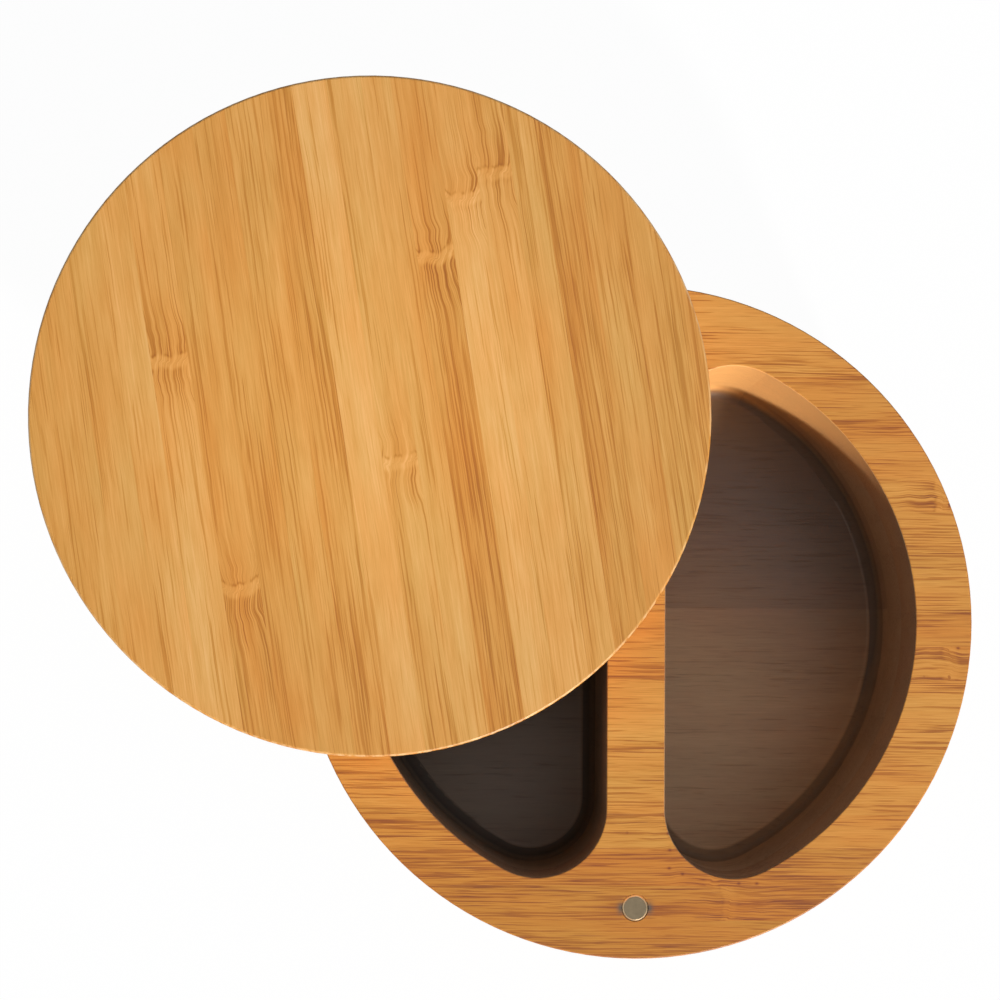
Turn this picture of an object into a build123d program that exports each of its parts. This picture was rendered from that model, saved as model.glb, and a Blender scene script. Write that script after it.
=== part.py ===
from build123d import *
import os

# A round bamboo salt box: two pockets under one lid that swivels on a hidden bolt.
# Millimetres and degrees. +Z is up and the origin is the centre of the bottom face. The divider
# runs along Y, with the pivot near its +Y end and the closing magnet near its -Y end. The lid
# stands swung open over the -X pocket.

# Body: three boards glued in a stack, turned round and bored out
body_diameter = 127.0
board_thickness = 19.0
rim_rounding = 0.3
foot_rounding = 1.5

# Pockets: two half discs with rounded corners, one on each side of a straight divider
wall_thickness = 10.6
divider_width = 11.0
pocket_corner_radius = 13.0
pocket_mouth_rounding = 0.3
floor_thickness = 9.5
floor_fillet = 3.0

# Lid: a disc as wide as the body
lid_thickness = 10.0
lid_rounding = 0.5
lid_lift = 0.3
lid_swing = 74.0

# Fits
running_clearance = 0.05
glue_clearance = 0.05

# Closing magnets: one in the rim and one in the lid, face to face when the lid is closed.
# An inset is from the rim's outer edge to a centre.
magnet_inset = 9.5
magnet_diameter = 5.0
magnet_height = 4.0
magnet_chamfer = 0.4

# Pivot bolt: its head is sunk in the body's underside and its thread is held in the lid
pivot_inset = 11.2
bolt_diameter = 4.0
bolt_engagement = 6.2
bolt_tip_chamfer = 0.5
bolt_head_diameter = 7.6
bolt_head_height = 2.2
bolt_head_rounding = 1.2
hex_socket_width = 2.5
hex_socket_depth = 1.4
bolt_bore_clearance = 0.4
counterbore_diameter = 10.5
counterbore_depth = 10.0

# Brass insert, sunk in the lid's underside, with glue grooves round it
insert_diameter = 6.5
insert_length = 7.5
insert_groove_count = 2
insert_groove_width = 1.0
insert_groove_depth = 0.4

# Bush that lines the pivot bore through the top board
bush_diameter = 6.5

# Glide washer, let into the rim around the pivot and standing proud of it
glide_diameter = 12.0
glide_thickness = 0.8

# Flat washer and disc spring between the bolt head and the counterbore's ceiling
washer_diameter = 9.0
washer_thickness = 0.8
spring_diameter = 8.0
spring_thickness = 0.4
spring_cone_height = 0.3

# Places that follow from the sizes above
body_radius = body_diameter / 2
middle_board_bottom = board_thickness
top_board_bottom = middle_board_bottom + board_thickness
body_height = top_board_bottom + board_thickness
pocket_arc_radius = body_radius - wall_thickness
magnet_distance = body_radius - magnet_inset
pivot_distance = body_radius - pivot_inset
lid_underside = body_height + lid_lift
glide_recess = glide_thickness - lid_lift + running_clearance
bush_top = body_height - glide_recess
bolt_bore_radius = bolt_diameter / 2 + bolt_bore_clearance
running_bore_radius = bolt_diameter / 2 + running_clearance
washer_bottom = counterbore_depth - washer_thickness
spring_bottom = washer_bottom - spring_thickness - spring_cone_height
bolt_seat = spring_bottom - running_clearance
bolt_length = lid_underside + bolt_engagement - bolt_seat
magnet_hole_radius = magnet_diameter / 2 + glue_clearance
magnet_hole_depth = magnet_height + glue_clearance
body_magnet_top = body_height + lid_lift / 2
body_magnet_bottom = body_magnet_top - magnet_height

# The pivot's axis, and the lid's own plane: on its underside, with the closed lid's centre at
# local (0, -pivot_distance)
pivot_plane = Plane(origin=(0, pivot_distance, 0))
lid_plane = Plane(
    origin=(0, pivot_distance, lid_underside),
    x_dir=Vector(1, 0, 0).rotate(Axis.Z, -lid_swing),
    z_dir=(0, 0, 1),
)

# The two pockets' outlines, shared by the three boards. The four corners by the divider are
# the vertices nearest to the YZ plane.
with BuildSketch() as pocket_outlines:
    Circle(pocket_arc_radius)
    Rectangle(divider_width, 2 * pocket_arc_radius, mode=Mode.SUBTRACT)
    divider_corners = pocket_outlines.vertices().sort_by(lambda corner: abs(corner.X))[:4]
    fillet(divider_corners, pocket_corner_radius)

# Bottom board: the pockets' floors, and the counterbore that takes the bolt's head
with BuildPart() as bottom_board:
    with BuildSketch():
        Circle(body_radius)
    extrude(amount=board_thickness)
    fillet(bottom_board.faces().sort_by(Axis.Z)[0].edges(), foot_rounding)
    with BuildSketch(Plane.XY.offset(floor_thickness)):
        add(pocket_outlines.sketch)
    extrude(amount=board_thickness - floor_thickness, mode=Mode.SUBTRACT)
    fillet(
        bottom_board.edges().filter_by_position(Axis.Z, floor_thickness, floor_thickness),
        floor_fillet,
    )
    with BuildSketch(pivot_plane):
        Circle(bolt_bore_radius)
    extrude(amount=board_thickness, mode=Mode.SUBTRACT)
    with BuildSketch(pivot_plane):
        Circle(counterbore_diameter / 2)
    extrude(amount=counterbore_depth, mode=Mode.SUBTRACT)

# Middle board: a ring with the divider across it
with BuildPart() as middle_board:
    with BuildSketch(Plane.XY.offset(middle_board_bottom)):
        Circle(body_radius)
        add(pocket_outlines.sketch, mode=Mode.SUBTRACT)
        with Locations((0, pivot_distance)):
            Circle(bolt_bore_radius, mode=Mode.SUBTRACT)
    extrude(amount=board_thickness)

# Top board: the rim, with the bush's bore, the glide washer's recess and the magnet's hole
with BuildPart() as top_board:
    with BuildSketch(Plane.XY.offset(top_board_bottom)):
        Circle(body_radius)
        add(pocket_outlines.sketch, mode=Mode.SUBTRACT)
    extrude(amount=board_thickness)
    rim_face = top_board.faces().sort_by(Axis.Z)[-1]
    fillet(rim_face.outer_wire().edges(), rim_rounding)
    rim_face = top_board.faces().sort_by(Axis.Z)[-1]
    mouth_edges = [edge for wire in rim_face.inner_wires() for edge in wire.edges()]
    fillet(mouth_edges, pocket_mouth_rounding)
    with BuildSketch(pivot_plane.offset(top_board_bottom)):
        Circle(bush_diameter / 2 + glue_clearance)
    extrude(amount=board_thickness, mode=Mode.SUBTRACT)
    with BuildSketch(pivot_plane.offset(bush_top)):
        Circle(glide_diameter / 2 + glue_clearance)
    extrude(amount=glide_recess, mode=Mode.SUBTRACT)
    with BuildSketch(Plane.XY.offset(body_magnet_bottom - glue_clearance)):
        with Locations((0, -magnet_distance)):
            Circle(magnet_hole_radius)
    extrude(amount=magnet_hole_depth, mode=Mode.SUBTRACT)

# Body magnet: glued into the rim and standing half of the lid's lift proud of it
with BuildPart() as body_magnet:
    with BuildSketch(Plane.XY.offset(body_magnet_bottom)):
        with Locations((0, -magnet_distance)):
            Circle(magnet_diameter / 2)
    extrude(amount=magnet_height)
    chamfer(body_magnet.edges(), magnet_chamfer)

# Pivot bush: a plain brass tube through the top board
with BuildPart() as pivot_bush:
    with BuildSketch(pivot_plane.offset(top_board_bottom)):
        Circle(bush_diameter / 2)
        Circle(running_bore_radius, mode=Mode.SUBTRACT)
    extrude(amount=bush_top - top_board_bottom)

# Glide washer: stands proud of the rim and carries the lid
with BuildPart() as glide_washer:
    with BuildSketch(pivot_plane.offset(bush_top)):
        Circle(glide_diameter / 2)
        Circle(running_bore_radius, mode=Mode.SUBTRACT)
    extrude(amount=glide_thickness)

# Flat washer: bears on the counterbore's ceiling
with BuildPart() as flat_washer:
    with BuildSketch(pivot_plane.offset(washer_bottom)):
        Circle(washer_diameter / 2)
        Circle(running_bore_radius, mode=Mode.SUBTRACT)
    extrude(amount=washer_thickness)

# Disc spring: a shallow cone, its outer edge up against the flat washer
with BuildPart() as disc_spring:
    with BuildSketch(Plane.XZ.offset(-pivot_distance)):
        with BuildLine():
            Polyline(
                (running_bore_radius, spring_bottom),
                (spring_diameter / 2, spring_bottom + spring_cone_height),
                (spring_diameter / 2, washer_bottom),
                (running_bore_radius, washer_bottom - spring_cone_height),
                close=True,
            )
        make_face()
    revolve(axis=Axis((0, pivot_distance, 0), (0, 0, 1)))

# Pivot bolt: a button-head machine screw, head down
with BuildPart() as pivot_bolt:
    with BuildSketch(pivot_plane.offset(bolt_seat - bolt_head_height)):
        Circle(bolt_head_diameter / 2)
    extrude(amount=bolt_head_height)
    fillet(pivot_bolt.faces().sort_by(Axis.Z)[0].edges(), bolt_head_rounding)
    with BuildSketch(pivot_plane.offset(bolt_seat)):
        Circle(bolt_diameter / 2)
    extrude(amount=bolt_length)
    chamfer(pivot_bolt.faces().sort_by(Axis.Z)[-1].edges(), bolt_tip_chamfer)
    with BuildSketch(pivot_plane.offset(bolt_seat - bolt_head_height)):
        RegularPolygon(hex_socket_width / 2, 6, major_radius=False)
    extrude(amount=hex_socket_depth, mode=Mode.SUBTRACT)

# Lid panel: a bamboo disc with two blind holes in its underside
with BuildPart() as lid_panel:
    with BuildSketch(lid_plane):
        with Locations((0, -pivot_distance)):
            Circle(body_radius)
    extrude(amount=lid_thickness)
    fillet(lid_panel.edges(), lid_rounding)
    with BuildSketch(lid_plane):
        Circle(insert_diameter / 2 + glue_clearance)
    extrude(amount=insert_length + glue_clearance, mode=Mode.SUBTRACT)
    with BuildSketch(lid_plane):
        with Locations((0, -pivot_distance - magnet_distance)):
            Circle(magnet_hole_radius)
    extrude(amount=magnet_hole_depth, mode=Mode.SUBTRACT)

# Lid insert: a brass bush with two grooves that the glue fills, flush with the underside
with BuildPart() as lid_insert:
    with BuildSketch(lid_plane):
        Circle(insert_diameter / 2)
        Circle(running_bore_radius, mode=Mode.SUBTRACT)
    extrude(amount=insert_length)
    for groove in range(insert_groove_count):
        groove_middle = insert_length * (groove + 1) / (insert_groove_count + 1)
        with BuildSketch(lid_plane.offset(groove_middle - insert_groove_width / 2)):
            Circle(insert_diameter / 2)
            Circle(insert_diameter / 2 - insert_groove_depth, mode=Mode.SUBTRACT)
        extrude(amount=insert_groove_width, mode=Mode.SUBTRACT)

# Lid magnet: glued in, flush with the underside, over the body magnet when closed
with BuildPart() as lid_magnet:
    with BuildSketch(lid_plane):
        with Locations((0, -pivot_distance - magnet_distance)):
            Circle(magnet_diameter / 2)
    extrude(amount=magnet_height)
    chamfer(lid_magnet.edges(), magnet_chamfer)

pieces = {
    "bottom_board": bottom_board,
    "middle_board": middle_board,
    "top_board": top_board,
    "body_magnet": body_magnet,
    "pivot_bush": pivot_bush,
    "glide_washer": glide_washer,
    "flat_washer": flat_washer,
    "disc_spring": disc_spring,
    "pivot_bolt": pivot_bolt,
    "lid_panel": lid_panel,
    "lid_insert": lid_insert,
    "lid_magnet": lid_magnet,
}
os.makedirs("parts", exist_ok=True)
for name, piece in pieces.items():
    piece.part.label = name
    export_step(piece.part, f"parts/{name}.step")
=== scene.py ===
import math
import random

import bpy
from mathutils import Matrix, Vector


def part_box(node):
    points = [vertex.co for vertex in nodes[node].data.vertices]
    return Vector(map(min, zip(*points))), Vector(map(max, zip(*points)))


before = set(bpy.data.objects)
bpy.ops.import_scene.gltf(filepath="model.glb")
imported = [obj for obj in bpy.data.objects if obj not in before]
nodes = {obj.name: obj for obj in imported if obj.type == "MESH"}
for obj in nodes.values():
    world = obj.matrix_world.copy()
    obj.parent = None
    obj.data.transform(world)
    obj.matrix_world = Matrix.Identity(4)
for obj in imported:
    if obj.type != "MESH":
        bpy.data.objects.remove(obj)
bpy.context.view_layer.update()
print("frame loaded:", len(nodes), "nodes")

# Row frame in metres. Materials work in millimetres, so the lengths below are millimetres.
mm = 0.001
tableSteps = 255  # a colour ramp is read in this many steps
tableStep = 0.5  # and each one is this wide across a board, so strip widths are whole steps
earlyStart = 0.3  # part of a step by which a strip's entry starts early, clear of rounding
boardSpan = tableSteps * tableStep


# A value that runs through a material: sums and products of it become Math nodes
class wire:
    def __init__(self, tree, socket):
        self.tree = tree
        self.socket = socket

    def __add__(self, other):
        return calc(self.tree, "ADD", self, other)

    def __radd__(self, other):
        return calc(self.tree, "ADD", other, self)

    def __sub__(self, other):
        return calc(self.tree, "SUBTRACT", self, other)

    def __rsub__(self, other):
        return calc(self.tree, "SUBTRACT", other, self)

    def __mul__(self, other):
        return calc(self.tree, "MULTIPLY", self, other)

    def __rmul__(self, other):
        return calc(self.tree, "MULTIPLY", other, self)

    def __truediv__(self, other):
        return calc(self.tree, "DIVIDE", self, other)

    def __pow__(self, other):
        return calc(self.tree, "POWER", self, other)

    def __abs__(self):
        return calc(self.tree, "ABSOLUTE", self)


def plug(tree, socket, value):
    if isinstance(value, wire):
        tree.links.new(value.socket, socket)
    else:
        socket.default_value = value


def calc(tree, operation, *values):
    node = tree.nodes.new("ShaderNodeMath")
    node.operation = operation
    for socket, value in zip(node.inputs, values):
        plug(tree, socket, value)
    return wire(tree, node.outputs[0])


def addNode(tree, kind, inputs, **settings):
    node = tree.nodes.new(kind)
    for name, value in settings.items():
        setattr(node, name, value)
    for name, value in inputs.items():
        plug(tree, node.inputs[name], value)
    return node


# 0 below low, 1 above high, and a smooth rise between. With low above high it falls.
def ramp(value, low, high):
    ends = {"Value": value, "From Min": low, "From Max": high}
    node = addNode(value.tree, "ShaderNodeMapRange", ends, interpolation_type="SMOOTHSTEP")
    return wire(value.tree, node.outputs["Result"])


# 1 at nought, falling away smoothly on both sides
def bell(value, width):
    part = value / width
    return calc(value.tree, "EXPONENT", part * part * -1)


def limit(value, low, high):
    return calc(value.tree, "MINIMUM", calc(value.tree, "MAXIMUM", value, low), high)


def fraction(value):
    return calc(value.tree, "FRACT", value)


def root(value):
    return calc(value.tree, "SQRT", value)


def point(x, y, z):
    node = addNode(x.tree, "ShaderNodeCombineXYZ", {"X": x, "Y": y, "Z": z})
    return wire(x.tree, node.outputs["Vector"])


# Cloudy noise from -0.5 to 0.5
def noise(x, y, z, detail=2.0, roughness=0.5):
    node = addNode(
        x.tree,
        "ShaderNodeTexNoise",
        {"Vector": point(x, y, z), "Scale": 1.0, "Detail": detail, "Roughness": roughness},
        noise_dimensions="3D",
    )
    return wire(x.tree, node.outputs["Fac"]) - 0.5


# Scattered cells: the distance to each cell's centre, and a random number for each cell
def cells(x, y, z):
    node = addNode(
        x.tree,
        "ShaderNodeTexVoronoi",
        {"Vector": point(x, y, z), "Scale": 1.0},
        voronoi_dimensions="3D",
    )
    pick = splitColour(x.tree, wire(x.tree, node.outputs["Color"]))[0]
    return wire(x.tree, node.outputs["Distance"]), pick


def splitColour(tree, colour):
    node = addNode(tree, "ShaderNodeSeparateColor", {"Color": colour})
    return [wire(tree, node.outputs[name]) for name in ("Red", "Green", "Blue")]


def joinColour(tree, channels):
    node = addNode(tree, "ShaderNodeCombineColor", dict(zip(("Red", "Green", "Blue"), channels)))
    return wire(tree, node.outputs["Color"])


def mixColour(colour, other, amount):
    node = addNode(colour.tree, "ShaderNodeMix", {}, data_type="RGBA")
    plug(colour.tree, node.inputs["Factor"], amount)
    plug(colour.tree, node.inputs[6], colour)
    plug(colour.tree, node.inputs[7], other if isinstance(other, wire) else (*other, 1.0))
    return wire(colour.tree, node.outputs[2])


def newMaterial(name):
    material = bpy.data.materials.new(name)
    material.use_nodes = True
    material.node_tree.nodes.clear()
    return material


def closeMaterial(material, shader):
    tree = material.node_tree
    out = tree.nodes.new("ShaderNodeOutputMaterial")
    tree.links.new(shader.outputs[0], out.inputs["Surface"])


# A surface with a fine relief. Its height is in units of depth, and depth is in millimetres.
def closeWithRelief(material, height, depth, inputs):
    tree = material.node_tree
    relief = {"Height": height, "Strength": 1.0, "Distance": depth * mm}
    bump = addNode(tree, "ShaderNodeBump", relief)
    inputs = {**inputs, "Normal": wire(tree, bump.outputs["Normal"])}
    closeMaterial(material, addNode(tree, "ShaderNodeBsdfPrincipled", inputs))


# Where a point of a piece is, in millimetres from a centre and turned to the grain: along, across
# and through. Then how far its surface faces each of those ways.
def grainCoordinates(tree, centre, angle):
    source = tree.nodes.new("ShaderNodeTexCoord")
    mapped = addNode(
        tree,
        "ShaderNodeMapping",
        {
            "Vector": wire(tree, source.outputs["Object"]),
            "Location": centre,
            "Rotation": (0, 0, angle),
            "Scale": (mm, mm, mm),
        },
        vector_type="TEXTURE",
    )
    turned = addNode(
        tree,
        "ShaderNodeMapping",
        {"Vector": wire(tree, source.outputs["Normal"]), "Rotation": (0, 0, -angle)},
        vector_type="VECTOR",
    )
    split = addNode(tree, "ShaderNodeSeparateXYZ", {"Vector": wire(tree, mapped.outputs["Vector"])})
    facing = addNode(tree, "ShaderNodeSeparateXYZ", {"Vector": wire(tree, turned.outputs["Vector"])})
    return [wire(tree, node.outputs[axis]) for node in (split, facing) for axis in "XYZ"]


# Three or four numbers for each strip, looked up by the place across the board. A colour ramp holds
# four, so three are filled up with a 1.
def stripTable(place, strips, *keys):
    node = place.tree.nodes.new("ShaderNodeValToRGB")
    table = node.color_ramp
    table.interpolation = "CONSTANT"
    start = 0
    for number, strip in enumerate(strips):
        stop = table.elements[0] if number == 0 else table.elements.new(1.0)
        stop.position = max(0.0, (start - earlyStart) / tableSteps)
        stop.color = ([strip[key] for key in keys] + [1.0])[:4]
        start += round(strip["width"] / tableStep)
    table.elements.remove(table.elements[-1])
    plug(place.tree, node.inputs["Fac"], place)
    found = splitColour(place.tree, wire(place.tree, node.outputs["Color"]))
    found.append(wire(place.tree, node.outputs["Alpha"]))
    return found[:len(keys)]


# What every bamboo board has in common
bamboo = {
    "paleColour": (0.745, 0.362, 0.084),  # a strip of tone 1
    "toneRise": (1.0, 1.55, 3.6),  # how fast red, green and blue follow the tone
    "warmLoss": (0.0, 0.15, 0.36),  # what a warm strip loses of each
    "hueDrift": 2.6,  # how much warmth comes and goes inside a strip
    "apart": 57.0,  # sends each strip to its own part of the noise
    "stripHeight": 6.35,  # through the board, where strips lie flat
    "wander": 1.5,  # how far the fibres stray from a straight line
    "grouping": 1.5,  # how much they gather in groups
    "lineGain": 0.17,  # how much more lines a strip has when it's rich in fibre
    "lineEdge": (0.08, 0.15),  # where in the noise a line begins, and where it's full
    "fineSpacing": 0.55,  # the finer lines, as shares of the others
    "fineLength": 0.5,
    "halo": 0.05,  # the paler wood between lines
    "hairSpacing": 0.26,  # the finest grain
    "bandSpacing": 2.0,  # wide soft bands inside a strip
    "bandRate": 0.012,
    "band": 0.16,
    "patch": 0.20,  # strength of the slow change along a strip
    "dotSpacing": 0.62,  # dots on a surface that cuts across the fibres
    "dotDark": 0.30,
    "pitSpacing": 1.6,  # small pits near a knuckle
    "pitDark": 0.45,
    "edgeColour": (0.80, 0.56, 0.28),  # worn edge, where the fibre ends show
    "roughness": 0.44,
    "relief": 0.007,  # depth of the fibres' relief
}

# Knuckle: a pale band across a strip, where the fibres break off and swing aside
knuckles = {
    "jag": 3.4,  # how ragged its line is
    "bow": 3.0,  # how much the line bends towards the strip's sides
    "reach": 8.0,  # how far along the strip it can be felt
    "band": (1.7, 0.7),  # from its line, where the band begins and where it's full
    "bandHides": 0.8,  # share of the dark lines that it covers
    "bandLight": 0.05,
    "edgeAt": 1.3,  # thin broken dark line at the band's edge
    "edgeWidth": 0.28,
    "edgeDark": 0.22,
    "swing": 4.0,  # the fibres move aside by one in this many
    "swingReach": 5.5,
    "jump": 0.6,  # and by this much as they cross its line
    "pinch": 1.6,  # how tightly they're drawn together past it
    "pinchAt": 3.5,
    "pinchReach": 4.0,
    "ripple": 2.6,
    "change": (-1.0, 3.0),  # past its line a strip's tone changes between these
}

# Painted light and shade in the pockets: the lit wall at the pivot's end is painted pale, and the rest
# painted dull as shade.
pockets = {
    "inset": (5.5, 9.5),  # from the board's edge, where the painted light and shade begins and where it's full
    "litPaleEdge": (-1.05, -0.7),  # how far a wall turns from the pivot's end before it's painted as shaded
    "litPaleTaper": 0.007,  # with height, the part painted as lit gets wider by this
    "shadeGreyColour": (0.54, 0.395, 0.255),  # painted shade: the wood made greyer and duller where it lies in shade
    # painted light: the pale colour of the wall at the pivot's end, where the key lamp falls
    "litPaleColour": (0.84, 0.44, 0.15),
    # painted shade: the near-black of the pockets' deepest shade
    "paintedShadeColour": (0.055, 0.045, 0.035),
    "pivotEndShade": (-8.0, 45.0),  # painted shade: the floors get darker between these, towards the pivot's end
    "leftSide": (0.0, -10.0),  # and painted shadow of the lid on the side that it stands over
    "lidShadowDark": 0.8,
    "bareWall": 0.5,  # the walls have no finish left, so they get rougher by this times the share painted as lit or as shade
    "polish": 0.6,  # and the flat floor by this much less
}


# What a knuckle does: how near it is, its band, the dark line at the band's edge, the distance past
# its line, and the four ways it moves the fibres
def knuckleMarks(along, across, own, share, knuckleAt, knuckle):
    fromKnuckle = along - (knuckleAt - 0.5) * boardSpan
    bow = (share - 0.5) * (share - 0.5) * knuckles["bow"]
    away = fromKnuckle + noise(own, across * 0.5, own, 3.0, 0.6) * knuckles["jag"] + bow
    near = bell(fromKnuckle, knuckles["reach"]) * knuckle
    band = ramp(abs(away), *knuckles["band"]) * knuckle
    broken = ramp(noise(across * 0.8, own, own, 1.0), -0.10, 0.08)
    bandEdge = bell(away + knuckles["edgeAt"], knuckles["edgeWidth"]) * knuckle * broken
    swing = away / knuckles["swing"] * bell(away, knuckles["swingReach"]) * knuckle
    jump = ramp(away, -0.4, 0.4) * knuckle * knuckles["jump"]
    drawnIn = bell(away - knuckles["pinchAt"], knuckles["pinchReach"])
    pinch = (share - 0.5) * drawnIn * knuckle * knuckles["pinch"]
    ripple = noise(along * 0.24, across * 0.12, own, 1.0) * near * knuckles["ripple"]
    return near, band, bandEdge, away, (swing, jump, pinch, ripple)


# Noise drawn out along the grain, with its rate along and its spacing across
def streaks(along, side, depth, rate, spacing, detail, roughness=0.5):
    return noise(along * rate, side / spacing, depth / spacing, detail, roughness)


# Soft dark lines along the grain, more of them where the strip is rich in fibre
def fibreLines(along, side, depth, spacing, length, rich):
    field = noise(along / length, side / spacing, depth / spacing, 1.0)
    gain = (limit(rich, 0.0, 0.9) - 0.5) * bamboo["lineGain"]
    return ramp(field + gain, *bamboo["lineEdge"]), field


# Painted light and shade inside the pockets: how far the wood is painted greyer as shade, paler as lit,
# and darker as deep shade
def pocketPaintedLight(board, along, across, through, radius, facingAcross, facingUp):
    outerInset, innerInset = pockets["inset"]
    inside = ramp(radius, board["radius"] - outerInset, board["radius"] - innerInset)
    level = root(limit(1 - facingUp * facingUp, 0.0025, 1.0))  # how far it faces sideways
    height = through + board["centre"].z / mm
    # 0 on the walls at the pivot's end, which the key lamp lights, and 1 on the others, which lie in
    # shade
    turned = ramp(facingAcross / level - height * pockets["litPaleTaper"], *pockets["litPaleEdge"])
    upright = ramp(facingUp, 0.95, 0.6) * ramp(facingUp, -0.7, -0.3)
    flatness = ramp(facingUp, 0.5, 0.99)
    # The walls at the pivot's end are painted pale as lit, and the other walls and the floors greyer as
    # shade
    litPale = upright * (1 - turned) * inside * board["litPaleWall"]
    floor = flatness * (0.4 + turned * 0.6) * board["shadeGreyFloor"]
    shadeGrey = (upright * turned * board["shadeGreyWall"] + floor) * inside
    # Painted shade in the floor's rounded corner, on the floors towards the pivot's end, and under the
    # lid
    cornerShade = ramp(facingUp, 0.0, 0.3) * ramp(facingUp, 1.0, 0.95) * turned
    pivotEndShade = ramp(across + abs(along) * 0.5, *pockets["pivotEndShade"])
    floorShade = pivotEndShade + ramp(along, *pockets["leftSide"]) * pockets["lidShadowDark"]
    paintedShade = (cornerShade * board["cornerShadeDark"] + floorShade * flatness * board["floorShadeDark"]) * inside
    return shadeGrey, litPale, limit(paintedShade, 0.0, 0.9)


def bambooMaterial(name, board):
    material = newMaterial(name)
    tree = material.node_tree
    along, across, through, facingAlong, facingAcross, facingUp = grainCoordinates(
        tree, board["centre"], board["angle"]
    )
    radius = root(along * along + across * across)

    # Strips: where this one starts and ends, and how it differs from its neighbours
    strips = board["strips"]
    place = across / boardSpan + 0.5
    start, end, knuckleAt, knuckle = stripTable(place, strips, "from", "to", "knuckleAt", "knuckle")
    tone, warmth, fibre, skin = stripTable(place, strips, "tone", "warmth", "fibre", "skin")
    toneOn, warmthOn, fibreOn = stripTable(place, strips, "toneOn", "warmthOn", "fibreOn")
    share = (place - start) / (end - start)
    edge = (0.5 - abs(share - 0.5)) * (end - start) * boardSpan
    if board["flat"]:  # the outer skin of the cane is below, not at one side
        inward = fraction(through / bamboo["stripHeight"] + 0.5)
    else:
        inward = abs(share - skin)
    own = start * bamboo["apart"]

    # Past its knuckle a strip can be another tone and carry more or less fibre
    near, band, bandEdge, away, moves = knuckleMarks(along, across, own, share, knuckleAt, knuckle)
    past = ramp(away, *knuckles["change"])
    tone = tone + (toneOn - tone) * past
    warmth = warmth + (warmthOn - warmth) * past
    fibre = fibre + (fibreOn - fibre) * past

    # Fibres wander a little, and each strip has its own
    wander = noise(along * 0.016, across * 0.05, own, 1.0) * bamboo["wander"]
    wave = noise(along * 0.17, across * 0.35, own, 1.0) * board["wave"]
    side = sum(moves, across + wander + wave)
    depth = through + own
    group = noise(along * 0.016, side * 0.22, depth * 0.22, 1.0)
    nearSkin = ramp(inward, 0.34, 0.06)
    rich = fibre + group * bamboo["grouping"] + nearSkin * 0.30 * fibre
    rich = rich + (0.5 - inward) * 0.25 + near * 0.4
    lines, field = fibreLines(along, side, depth, board["lineSpacing"], board["lineLength"], rich)
    fineSpacing = board["lineSpacing"] * bamboo["fineSpacing"]
    fineLength = board["lineLength"] * bamboo["fineLength"]
    fine, _ = fibreLines(along, side + 7.0, depth, fineSpacing, fineLength, rich * 0.8 + 0.15)
    hair = streaks(along, side, depth, board["hairRate"], bamboo["hairSpacing"], 3.0, 0.65)
    soft = streaks(along, side, depth, bamboo["bandRate"], bamboo["bandSpacing"], 1.0)
    patch = noise(along * 0.045, across * 0.22, through * 0.12 + own, 3.0, 0.55)
    hue = noise(along * 0.035, across * 0.15 + 40.0, through * 0.12 + own, 2.0)

    # Glue lines between strips, between the layers of flat ones and under the board
    glueLine = ramp(edge, 0.3, 0.08) * board["glueLine"]
    if board["flat"]:
        ply = (0.5 - abs(inward - 0.5)) * bamboo["stripHeight"]
        glueLine = glueLine + ramp(ply, 0.3, 0.05) * ramp(abs(facingUp), 0.6, 0.3) * board["plyLine"]
    seam = ramp(through * -1, board["half"] - 0.14, board["half"])
    seam = seam * ramp(abs(facingUp), 0.3, 0.0) * board["seamDark"]

    # Small pits near a knuckle
    spacing = bamboo["pitSpacing"]
    pit, pick = cells(along / spacing, side / spacing, depth / spacing)
    pits = ramp(pit, 0.26, 0.14) * ramp(pick, near * board["pits"], 0.0) * bamboo["pitDark"]

    # Where the fibres are cut across they show as dots, closest together on the skin's side
    cutEnd = ramp(abs(facingAlong), 0.35, 0.85)
    dot, _ = cells(along * 0.03, side / bamboo["dotSpacing"], depth / bamboo["dotSpacing"])
    dots = ramp(dot, 0.46 - inward * 0.22, 0.12) * cutEnd * bamboo["dotDark"]

    # Tone: 1 is plain cane, less is darker and redder
    dark = lines * board["lineDark"] * (1 + near * 0.7)
    dark = dark + fine * board["fineDark"] * (0.7 + fibre * 0.9)
    dark = dark + limit(rich, 0.0, 1.0) * 0.05
    dark = dark * (1 - band * knuckles["bandHides"]) * (1 - cutEnd * 0.8)
    dark = dark + bandEdge * knuckles["edgeDark"] + pits + dots
    light = 1 + hair * board["hair"] * (1 - cutEnd * 0.5) + soft * bamboo["band"]
    light = light + patch * bamboo["patch"]
    light = light + ramp(field, -0.04, -0.16) * bamboo["halo"] * (1 + near * 1.5)
    sideways = ramp(abs(facingUp), 0.9, 0.3)
    # Upright sides are painted darker: painted shade that holds back the key lamp's strong light on
    # them
    ends = (1 - abs(facingAlong) * board["endDark"]) * (1 - sideways * board["sideShade"])
    shade = tone * light * (1 - limit(dark + glueLine + seam, 0.0, 0.7))
    shade = shade * (1 + band * knuckles["bandLight"]) * ends
    if "stain" in board:
        smear, blot = board["stain"](along, across)
        shade = shade * (1 - smear)

    # Painted light: brightest in the middle of the board, darker towards its edge
    lightFalloff = 1 - ramp(radius, 15.0, 55.0) * board["edgeFalloffShade"]
    warm = warmth + hue * bamboo["hueDrift"] + near * 0.25 + sideways * board["sideWarm"]
    channels = []
    for colour, rise, loss in zip(bamboo["paleColour"], bamboo["toneRise"], bamboo["warmLoss"]):
        channels.append(shade ** rise * (1 - warm * loss) * lightFalloff * colour)
    colour = joinColour(tree, channels)

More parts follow.
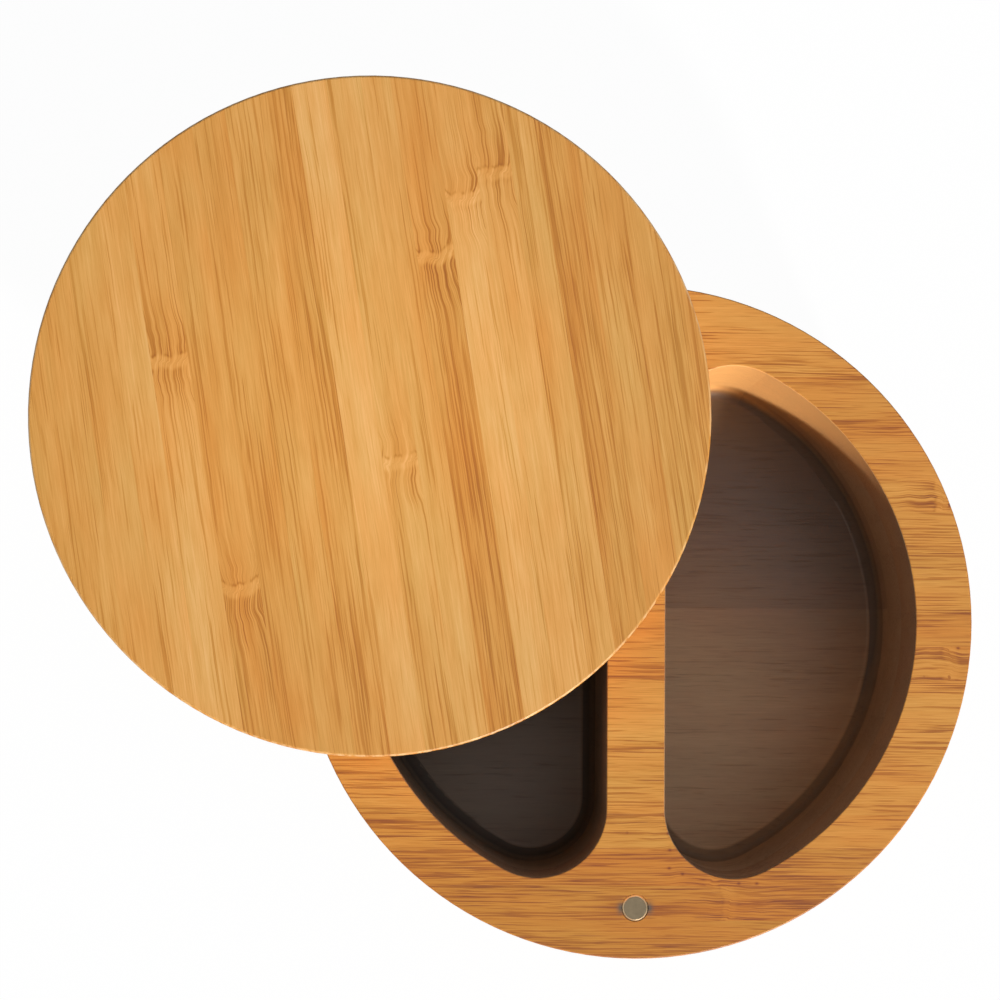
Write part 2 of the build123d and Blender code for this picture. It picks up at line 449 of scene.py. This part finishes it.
    # Over the tone go the pockets' painted light and shade, the stain and the board's rubbed edge
    shadeGrey, litPale, paintedShade = pocketPaintedLight(board, along, across, through, radius, facingAcross, facingUp)
    shadeGreyWood = joinColour(tree, [shade * part for part in pockets["shadeGreyColour"]])
    worn = ramp(radius, board["radius"] - 0.5, board["radius"] - 0.15)
    worn = worn * ramp(abs(facingUp), 0.1, 0.4)
    worn = worn * ramp(noise(along * 0.15, across * 0.9, through, 2.0), -0.12, 0.12)
    # Painted light on the wall at the pivot's end, then painted shade on the rest of the pockets and
    # their darkest parts
    colour = mixColour(colour, pockets["litPaleColour"], litPale)
    colour = mixColour(colour, shadeGreyWood, shadeGrey)
    colour = mixColour(colour, pockets["paintedShadeColour"], paintedShade)
    if "stain" in board:
        colour = mixColour(colour, board["blotColour"], blot)
    colour = mixColour(colour, bamboo["edgeColour"], worn * board["wornEdge"])

    gain = pockets["bareWall"] - ramp(facingUp, 0.98, 1.0) * pockets["polish"]
    bare = limit(shadeGrey + litPale, 0.0, 0.5) * gain
    rough = bamboo["roughness"] + bare + hair * 0.18 + lines * 0.08
    closeWithRelief(
        material,
        hair * 0.5 - lines * 0.9 - fine * 0.35 + band * 0.4,
        bamboo["relief"],
        {"Base Color": colour, "Roughness": limit(rough, 0.2, 0.9), "Specular IOR Level": 0.5},
    )
    return material


# Fills in what a strip doesn't say, and works out where each one lies
def layStrips(rows):
    strips = []
    start = 0
    for row in rows:
        strip = {"warmth": 0.3, "fibre": 0.4, "skin": 0.0, "knuckleAt": 0.0, "knuckle": 0.0, **row}
        for key in ("tone", "warmth", "fibre"):
            strip.setdefault(key + "On", strip[key])
        steps = round(strip["width"] / tableStep)
        strip["from"] = start / tableSteps
        strip["to"] = (start + steps) / tableSteps
        strip["knuckleAt"] = strip["knuckleAt"] / boardSpan + 0.5
        start += steps
        strips.append(strip)
    return strips


# Strips as they come: a seeded draw for boards that show little
def drawnStrips(board):
    draw = random.Random(board["seed"])
    rows = []
    left = boardSpan
    while left > 0:
        own = min(left, board["width"] + draw.choice((-0.5, 0.0, 0.5)))
        if left - own < board["width"] / 2:
            own = left
        rows.append({
            "width": own,
            "tone": board["tone"] + draw.uniform(-0.04, 0.04),
            "warmth": draw.uniform(0.0, 0.6),
            "fibre": board["fibre"] + draw.uniform(-0.15, 0.15),
            "skin": draw.choice((0.0, 1.0)),
            "knuckleAt": draw.uniform(-60, 60),
            "knuckle": 1.0 if draw.random() < 0.4 else 0.0,
        })
        left -= own
    return rows


def middleOf(piece):
    low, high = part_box(piece)
    return (low + high) / 2


def dress(piece, material):
    nodes[piece].data.materials.clear()
    nodes[piece].data.materials.append(material)


# A board with nothing special about it. The others say only where they differ.
plainBoard = {
    "angle": 0.0,  # of the grain, from X
    "flat": False,
    "glueLine": 0.03,  # between strips
    "seamDark": 0.35,  # glue line under the board
    "endDark": 0.26,  # how much darker the cut ends of the fibres are
    "sideWarm": 0.3,  # how much warmer its upright sides are, and how much darker, as painted shade
    "sideShade": 0.05,
    "edgeFalloffShade": 0.0,  # painted light: how much darker the board gets away from its middle, where less light falls
    "lineSpacing": 0.46,
    "lineLength": 9.0,
    "lineDark": 0.26,
    "fineDark": 0.14,
    "hair": 0.34,  # strength of the finest grain
    "hairRate": 0.14,  # and how fast it changes along a strip
    "wave": 0.35,  # how far the fibres weave from side to side
    "pits": 0.04,  # share of the pits that show
    "shadeGreyFloor": 0.0,  # share of the pockets' floors painted greyer and duller as shade
    "shadeGreyWall": 0.85,  # and of their walls, all but those on the pivot's side
    "litPaleWall": 0.75,  # share of the walls on the pivot's side painted pale as lit
    "cornerShadeDark": 0.0,  # painted shade in the floor's rounded corner
    "floorShadeDark": 0.0,  # and painted shade on the floor, in the places that pockets gives
    "wornEdge": 0.0,
}

# Body boards: the fibres run along X. Rows go from the magnet's side to the pivot's.
topBoard = {
    **plainBoard,
    "lineSpacing": 0.36,
    "lineLength": 17.0,
    "lineDark": 0.31,
    "fineDark": 0.17,
    "hairRate": 0.13,
    "wave": 0.12,
    "pits": 0.12,
    "shadeGreyWall": 0.7,
    "rows": (
        {"width": 7.5, "tone": 0.70, "warmth": 0.1, "fibre": 0.72},
        {"width": 6.5, "tone": 0.70, "fibre": 0.78, "skin": 1.0, "knuckleAt": 18, "knuckle": 0.4},
        {"width": 7.0, "tone": 0.72, "warmth": 0.4, "fibre": 0.72, "knuckleAt": 15, "knuckle": 0.4},
        {
            "width": 6.5, "tone": 0.79, "warmth": 0.2, "fibre": 0.60, "skin": 1.0,
            "knuckleAt": 8, "knuckle": 0.4,
        },
        {"width": 6.5, "tone": 0.82, "warmth": 0.1, "fibre": 0.55},
        {"width": 6.0, "tone": 0.82, "warmth": 0.2, "fibre": 0.60, "skin": 1.0},
        {"width": 6.5, "tone": 0.85, "warmth": 0.1, "fibre": 0.45},
        {"width": 6.0, "tone": 0.83, "warmth": 0.1, "fibre": 0.45, "skin": 1.0},
        {"width": 6.5, "tone": 0.77, "warmth": 0.4, "fibre": 0.55, "knuckleAt": 60, "knuckle": 0.45},
        {"width": 6.5, "tone": 0.77, "warmth": 0.2, "fibre": 0.50, "skin": 1.0},
        {"width": 6.0, "tone": 0.79, "warmth": -0.1, "fibre": 0.40},
        {"width": 6.5, "tone": 0.80, "warmth": 0.2, "fibre": 0.50, "skin": 1.0},
        {"width": 6.5, "tone": 0.82, "warmth": 0.1, "fibre": 0.50},
        {"width": 6.5, "tone": 0.82, "fibre": 0.52, "skin": 1.0, "knuckleAt": 58, "knuckle": 0.7},
        {"width": 6.5, "tone": 0.82, "warmth": 0.2, "fibre": 0.50},
        {"width": 6.0, "tone": 0.78, "fibre": 0.55},
        {"width": 6.5, "tone": 0.79, "fibre": 0.55, "skin": 1.0},
        {"width": 6.5, "tone": 0.87, "fibre": 0.50},
        {"width": 5.5, "tone": 0.90, "warmth": 0.2, "fibre": 0.50},
    ),
    "stainStart": 2.0,  # brown smear along the grain, beside the magnet
    "stainReach": 9.0,
    "stainTail": 26.0,  # its reach on the +X side
    "stainHeight": 1.2,
    "stainDark": 0.24,
    "blotColour": (0.06, 0.055, 0.042),  # dark spot at each side of the magnet
    "blotAway": 2.65,
    "blotLength": 0.7,
    "blotHeight": 1.1,
    "blotDark": 0.9,
    "pitLength": 0.34,  # small dark pits, in millimetres from the body's axis
    "pitHeight": 0.26,
    "pitsDark": 0.6,
    "pitsAt": (
        (6.2, -40.0),
        (6.5, -43.1),
        (6.4, -46.5),
        (8.9, -47.6),
        (19.5, -49.3),
        (22.9, -49.3),
        (60.9, -4.8),
    ),
}
middleBoard = {**plainBoard, "seed": 5, "tone": 0.84, "width": 6.5, "fibre": 0.65}
bottomBoard = {
    **plainBoard,
    "flat": True,
    "plyLine": 0.16,  # glue line between its layers of flat strips
    "seamDark": 0.0,
    "sideShade": 0.15,
    "lineDark": 0.12,
    "fineDark": 0.08,
    "hair": 0.22,
    "shadeGreyFloor": 0.50,
    "cornerShadeDark": 0.55,
    "floorShadeDark": 0.82,
    # Painted shade: the strips on the pivot's side are darker, against light bounced onto that end of
    # the floors
    "rows": (
        {"width": 21.5, "tone": 0.90, "fibre": 0.30},
        {"width": 22.5, "tone": 0.95, "fibre": 0.25},
        {"width": 22.5, "tone": 0.96, "fibre": 0.25},
        {"width": 22.5, "tone": 0.74, "fibre": 0.40},
        {"width": 22.5, "tone": 0.76, "fibre": 0.35},
        {"width": 16.0, "tone": 0.78, "fibre": 0.35},
    ),
}


# The finish around the magnet has darkened, mostly along the grain
def magnetStain(along, across):
    centre = (middleOf("body_magnet") - middleOf("top_board")) / mm
    aside = across - centre.y
    away = abs(along - centre.x)
    right = ramp(along - centre.x, -1.0, 1.0)
    reach = topBoard["stainReach"] * (1 - right) + topBoard["stainTail"] * right
    smear = bell(aside, topBoard["stainHeight"]) * ramp(away, reach, topBoard["stainStart"])
    blot = bell(aside, topBoard["blotHeight"])
    blot = blot * bell(away - topBoard["blotAway"], topBoard["blotLength"]) * topBoard["blotDark"]
    smear = smear * topBoard["stainDark"]
    for x, y in topBoard["pitsAt"]:
        pit = bell(along - x, topBoard["pitLength"]) * bell(across - y, topBoard["pitHeight"])
        smear = smear + pit * topBoard["pitsDark"]
    return limit(smear, 0.0, 0.8), blot


# Lid: one bamboo panel, its fibres a few degrees off the line of the body's when closed. Rows go
# from the side that is left at rest to the side that is right. Past a strip's knuckle its tone,
# warmth and fibre change to the values marked On.
lidPanel = {
    **plainBoard,
    "angle": math.radians(-81),
    "glueLine": 0.02,
    "seamDark": 0.0,
    "endDark": 0.22,
    "sideWarm": 0.6,
    "sideShade": 0.08,
    "edgeFalloffShade": 0.09,
    "lineSpacing": 0.42,
    "lineLength": 30.0,
    "lineDark": 0.19,
    "fineDark": 0.10,
    "wave": 0.25,
    "pits": 0.0,
    "shadeGreyWall": 0.0,
    "litPaleWall": 0.0,
    "wornEdge": 0.5,
    "rows": (
        {"width": 5.5, "tone": 0.95, "warmth": 0.0, "fibre": 0.30},
        {"width": 7.0, "tone": 0.95, "warmth": -0.1, "fibre": 0.30},
        {"width": 6.5, "tone": 0.97, "warmth": -0.1, "fibre": 0.25},
        {"width": 6.0, "tone": 1.01, "warmth": 0.1, "fibre": 0.20},
        {
            "width": 7.0, "tone": 1.01, "warmth": 0.1, "fibre": 0.30,
            "knuckleAt": -15, "knuckle": 0.9, "toneOn": 1.04,
        },
        {
            "width": 6.5, "tone": 0.95, "warmth": 0.3, "fibre": 0.15,
            "knuckleAt": 29, "knuckle": 1.0, "fibreOn": 0.82,
        },
        {"width": 6.5, "tone": 0.95, "warmth": 0.3, "fibre": 0.47},
        {"width": 6.5, "tone": 0.98, "warmth": 0.0, "fibre": 0.43},
        {"width": 6.5, "tone": 0.96, "warmth": 0.25, "fibre": 0.58, "skin": 1.0},
        {"width": 6.5, "tone": 1.05, "warmth": 0.2, "fibre": 0.12},
        {
            "width": 6.5, "tone": 0.98, "warmth": -0.1, "fibre": 0.25,
            "knuckleAt": 10, "knuckle": 0.9, "fibreOn": 0.43,
        },
        {"width": 5.5, "tone": 1.00, "warmth": 0.0, "fibre": 0.20, "skin": 1.0},
        {
            "width": 7.0, "tone": 0.96, "warmth": 0.35, "fibre": 0.15, "skin": 1.0,
            "knuckleAt": -27, "knuckle": 1.0, "toneOn": 0.94, "fibreOn": 0.82,
        },
        {
            "width": 6.5, "tone": 1.00, "warmth": 0.3, "fibre": 0.45, "skin": 1.0,
            "knuckleAt": -37, "knuckle": 1.0, "toneOn": 1.07, "warmthOn": 0.0, "fibreOn": 0.12,
        },
        {
            "width": 6.5, "tone": 0.98, "warmth": 0.3, "fibre": 0.43, "skin": 1.0,
            "knuckleAt": -41, "knuckle": 0.9, "toneOn": 1.05, "warmthOn": 0.0, "fibreOn": 0.20,
        },
        {"width": 5.5, "tone": 0.99, "warmth": 0.1, "fibre": 0.35},
        {"width": 7.0, "tone": 0.93, "warmth": 0.3, "fibre": 0.73},
        {"width": 7.0, "tone": 0.94, "warmth": 0.0, "fibre": 0.52, "skin": 1.0},
        {"width": 6.5, "tone": 0.94, "warmth": 0.0, "fibre": 0.43, "skin": 1.0},
        {"width": 5.0, "tone": 0.93, "warmth": 0.1, "fibre": 0.45},
    ),
}

topBoard["stain"] = magnetStain
middleBoard["rows"] = drawnStrips(middleBoard)
boards = {
    "top_board": topBoard,
    "middle_board": middleBoard,
    "bottom_board": bottomBoard,
    "lid_panel": lidPanel,
}
for piece, board in boards.items():
    low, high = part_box(piece)
    board["centre"] = middleOf(piece)
    board["radius"] = (high.x - low.x) / 2 / mm
    board["half"] = (high.z - low.z) / 2 / mm  # of its thickness
    board["strips"] = layStrips(board["rows"])
    dress(piece, bambooMaterial(piece + "_bamboo", board))
print("bamboo boards finished")

# Metal and nylon fittings, each turned on a lathe, so their fine marks run round the axis
fittings = {
    "nickel": {
        "nodes": ("body_magnet", "lid_magnet"),
        # painted reflection: dark warm brown for the dim warm surroundings that the flat disc mirrors
        "colour": (0.17, 0.13, 0.08),
        "metal": 1.0,
        "roughness": 0.42,
        "ringPitch": 0.0,
        "blotch": 0.18,
        "edgeAt": 2.1,  # outside this radius the edge is painted brighter: a painted highlight, which the key lamp picks out as a crescent
        "rimHighlight": 3.5,
    },
    "brass": {
        "nodes": ("pivot_bush", "lid_insert"),
        "colour": (0.71, 0.50, 0.20),
        "metal": 1.0,
        "roughness": 0.34,
        "ringPitch": 0.18,
        "blotch": 0.10,
    },
    "steel": {
        "nodes": ("pivot_bolt", "flat_washer", "disc_spring"),
        "colour": (0.55, 0.55, 0.56),
        "metal": 1.0,
        "roughness": 0.36,
        "ringPitch": 0.15,
        "blotch": 0.10,
    },
    "nylon": {
        "nodes": ("glide_washer",),
        "colour": (0.80, 0.78, 0.72),
        "metal": 0.0,
        "roughness": 0.55,
        "ringPitch": 0.4,
        "blotch": 0.05,
    },
}
fittingMarks = {"scratch": 0.12, "rings": 0.10, "relief": 0.003}  # alike on all of them


def fittingMaterial(name, look, axisPoint):
    material = newMaterial(name)
    tree = material.node_tree
    x, y, z, _, _, _ = grainCoordinates(tree, axisPoint, 0.0)
    radius = root(x * x + y * y)
    blotch = noise(x * 0.9, y * 0.9, z * 0.9, 4.0, 0.6)
    scratch = noise(x * 1.5, y * 14.0, z * 14.0, 2.0)
    rings = scratch
    if look["ringPitch"]:
        rings = noise(radius / look["ringPitch"], z / look["ringPitch"], z * 0.0, 1.0)
    shade = 1 + blotch * look["blotch"] * 2 + scratch * fittingMarks["scratch"]
    shade = shade + rings * fittingMarks["rings"]
    # Painted highlight: the edge ring of the magnets is brightened
    if "edgeAt" in look:
        edge = ramp(radius, look["edgeAt"], look["edgeAt"] + 0.1)
        shade = shade * (1 + edge * look["rimHighlight"])
    rough = look["roughness"] + blotch * 0.25 + scratch * fittingMarks["scratch"]
    closeWithRelief(
        material,
        rings + scratch * 0.5,
        fittingMarks["relief"],
        {
            "Base Color": joinColour(tree, [shade * part for part in look["colour"]]),
            "Metallic": look["metal"],
            "Roughness": limit(rough, 0.12, 0.9),
        },
    )
    return material


for finish, look in fittings.items():
    for piece in look["nodes"]:
        dress(piece, fittingMaterial(piece + "_" + finish, look, middleOf(piece)))
print("fittings finished")

# Floor, light and camera
studio = {
    "floorSize": 6.0,  # metres
    "floorGap": 0.05,  # millimetres under the box, so the two flats don't lie in one plane
    "floorColour": (0.86, 0.86, 0.86, 1.0),
    "floorGlow": 0.975,  # share of plain white that the camera sees, over the floor's own shading
    "skyColour": (0.80, 0.95, 1.18, 1.0),
    "skyStrength": 0.10,
    "white": (1, 1, 1, 1),
    # heading is where a light comes from, seen from above, and height is over the horizon
    "lamps": {
        "key": {
            "strength": 4.65,
            "colour": (1.0, 0.965, 0.91),
            "heading": -65,
            "height": 33,
            "softness": 4,
        },
        "fill": {
            "strength": 0.42,
            "colour": (0.80, 0.95, 1.18),
            "heading": 25,
            "height": 60,
            "softness": 40,
        },
    },
}


# Plain for the light that falls on the box, and white where the camera sees it or it's mirrored
def lightPathMix(tree, plain, white, share):
    path = tree.nodes.new("ShaderNodeLightPath")
    camera, glossy, clear = [
        wire(tree, path.outputs["Is " + kind + " Ray"]) for kind in ("Camera", "Glossy", "Transmission")
    ]
    seen = calc(tree, "MAXIMUM", camera, calc(tree, "MAXIMUM", glossy, clear))
    mix = tree.nodes.new("ShaderNodeMixShader")
    plug(tree, mix.inputs[0], seen * share)
    tree.links.new(plain.outputs[0], mix.inputs[1])
    tree.links.new(white.outputs[0], mix.inputs[2])
    return mix


def makeFloor():
    half = studio["floorSize"] / 2
    low = -studio["floorGap"] * mm
    corners = [(-half, -half, low), (half, -half, low), (half, half, low), (-half, half, low)]
    mesh = bpy.data.meshes.new("floor")
    mesh.from_pydata(corners, [], [(0, 1, 2, 3)])
    floor = bpy.data.objects.new("floor", mesh)
    bpy.context.scene.collection.objects.link(floor)
    material = newMaterial("floor_white")
    tree = material.node_tree
    paper = addNode(tree, "ShaderNodeBsdfDiffuse", {"Color": studio["floorColour"]})
    glow = addNode(tree, "ShaderNodeEmission", {"Color": studio["white"], "Strength": 1.0})
    closeMaterial(material, lightPathMix(tree, paper, glow, studio["floorGlow"]))
    mesh.materials.append(material)


def makeSky():
    world = bpy.data.worlds.new("studio")
    bpy.context.scene.world = world
    world.use_nodes = True
    tree = world.node_tree
    tree.nodes.clear()
    light = {"Color": studio["skyColour"], "Strength": studio["skyStrength"]}
    sky = addNode(tree, "ShaderNodeBackground", light)
    white = addNode(tree, "ShaderNodeBackground", {"Color": studio["white"], "Strength": 1.0})
    out = tree.nodes.new("ShaderNodeOutputWorld")
    tree.links.new(lightPathMix(tree, sky, white, 1.0).outputs[0], out.inputs["Surface"])


def makeLamp(name, look):
    lamp = bpy.data.lights.new(name, "SUN")
    lamp.energy = look["strength"]
    lamp.color = look["colour"]
    lamp.angle = math.radians(look["softness"])
    holder = bpy.data.objects.new(name, lamp)
    bpy.context.scene.collection.objects.link(holder)
    holder.rotation_euler = (0, math.radians(90 - look["height"]), math.radians(look["heading"]))


view = {
    "place": (-36.41 * mm, -4.37 * mm, 654.39 * mm),
    "turn": (0.0450, -0.0179, 0.0064),  # radians
    "lens": 113.97,
    "sensor": 36.0,
    "nearest": 0.01,  # metres
    "farthest": 20,
}


def makeCamera():
    data = bpy.data.cameras.new("camera")
    data.lens = view["lens"]
    data.sensor_width = view["sensor"]
    data.clip_start = view["nearest"]
    data.clip_end = view["farthest"]
    camera = bpy.data.objects.new("camera", data)
    bpy.context.scene.collection.objects.link(camera)
    camera.location = view["place"]
    camera.rotation_euler = view["turn"]
    bpy.context.scene.camera = camera


makeFloor()
makeSky()
for name, look in studio["lamps"].items():
    makeLamp(name, look)
makeCamera()
bpy.context.scene.view_settings.view_transform = "Standard"
print("studio ready")
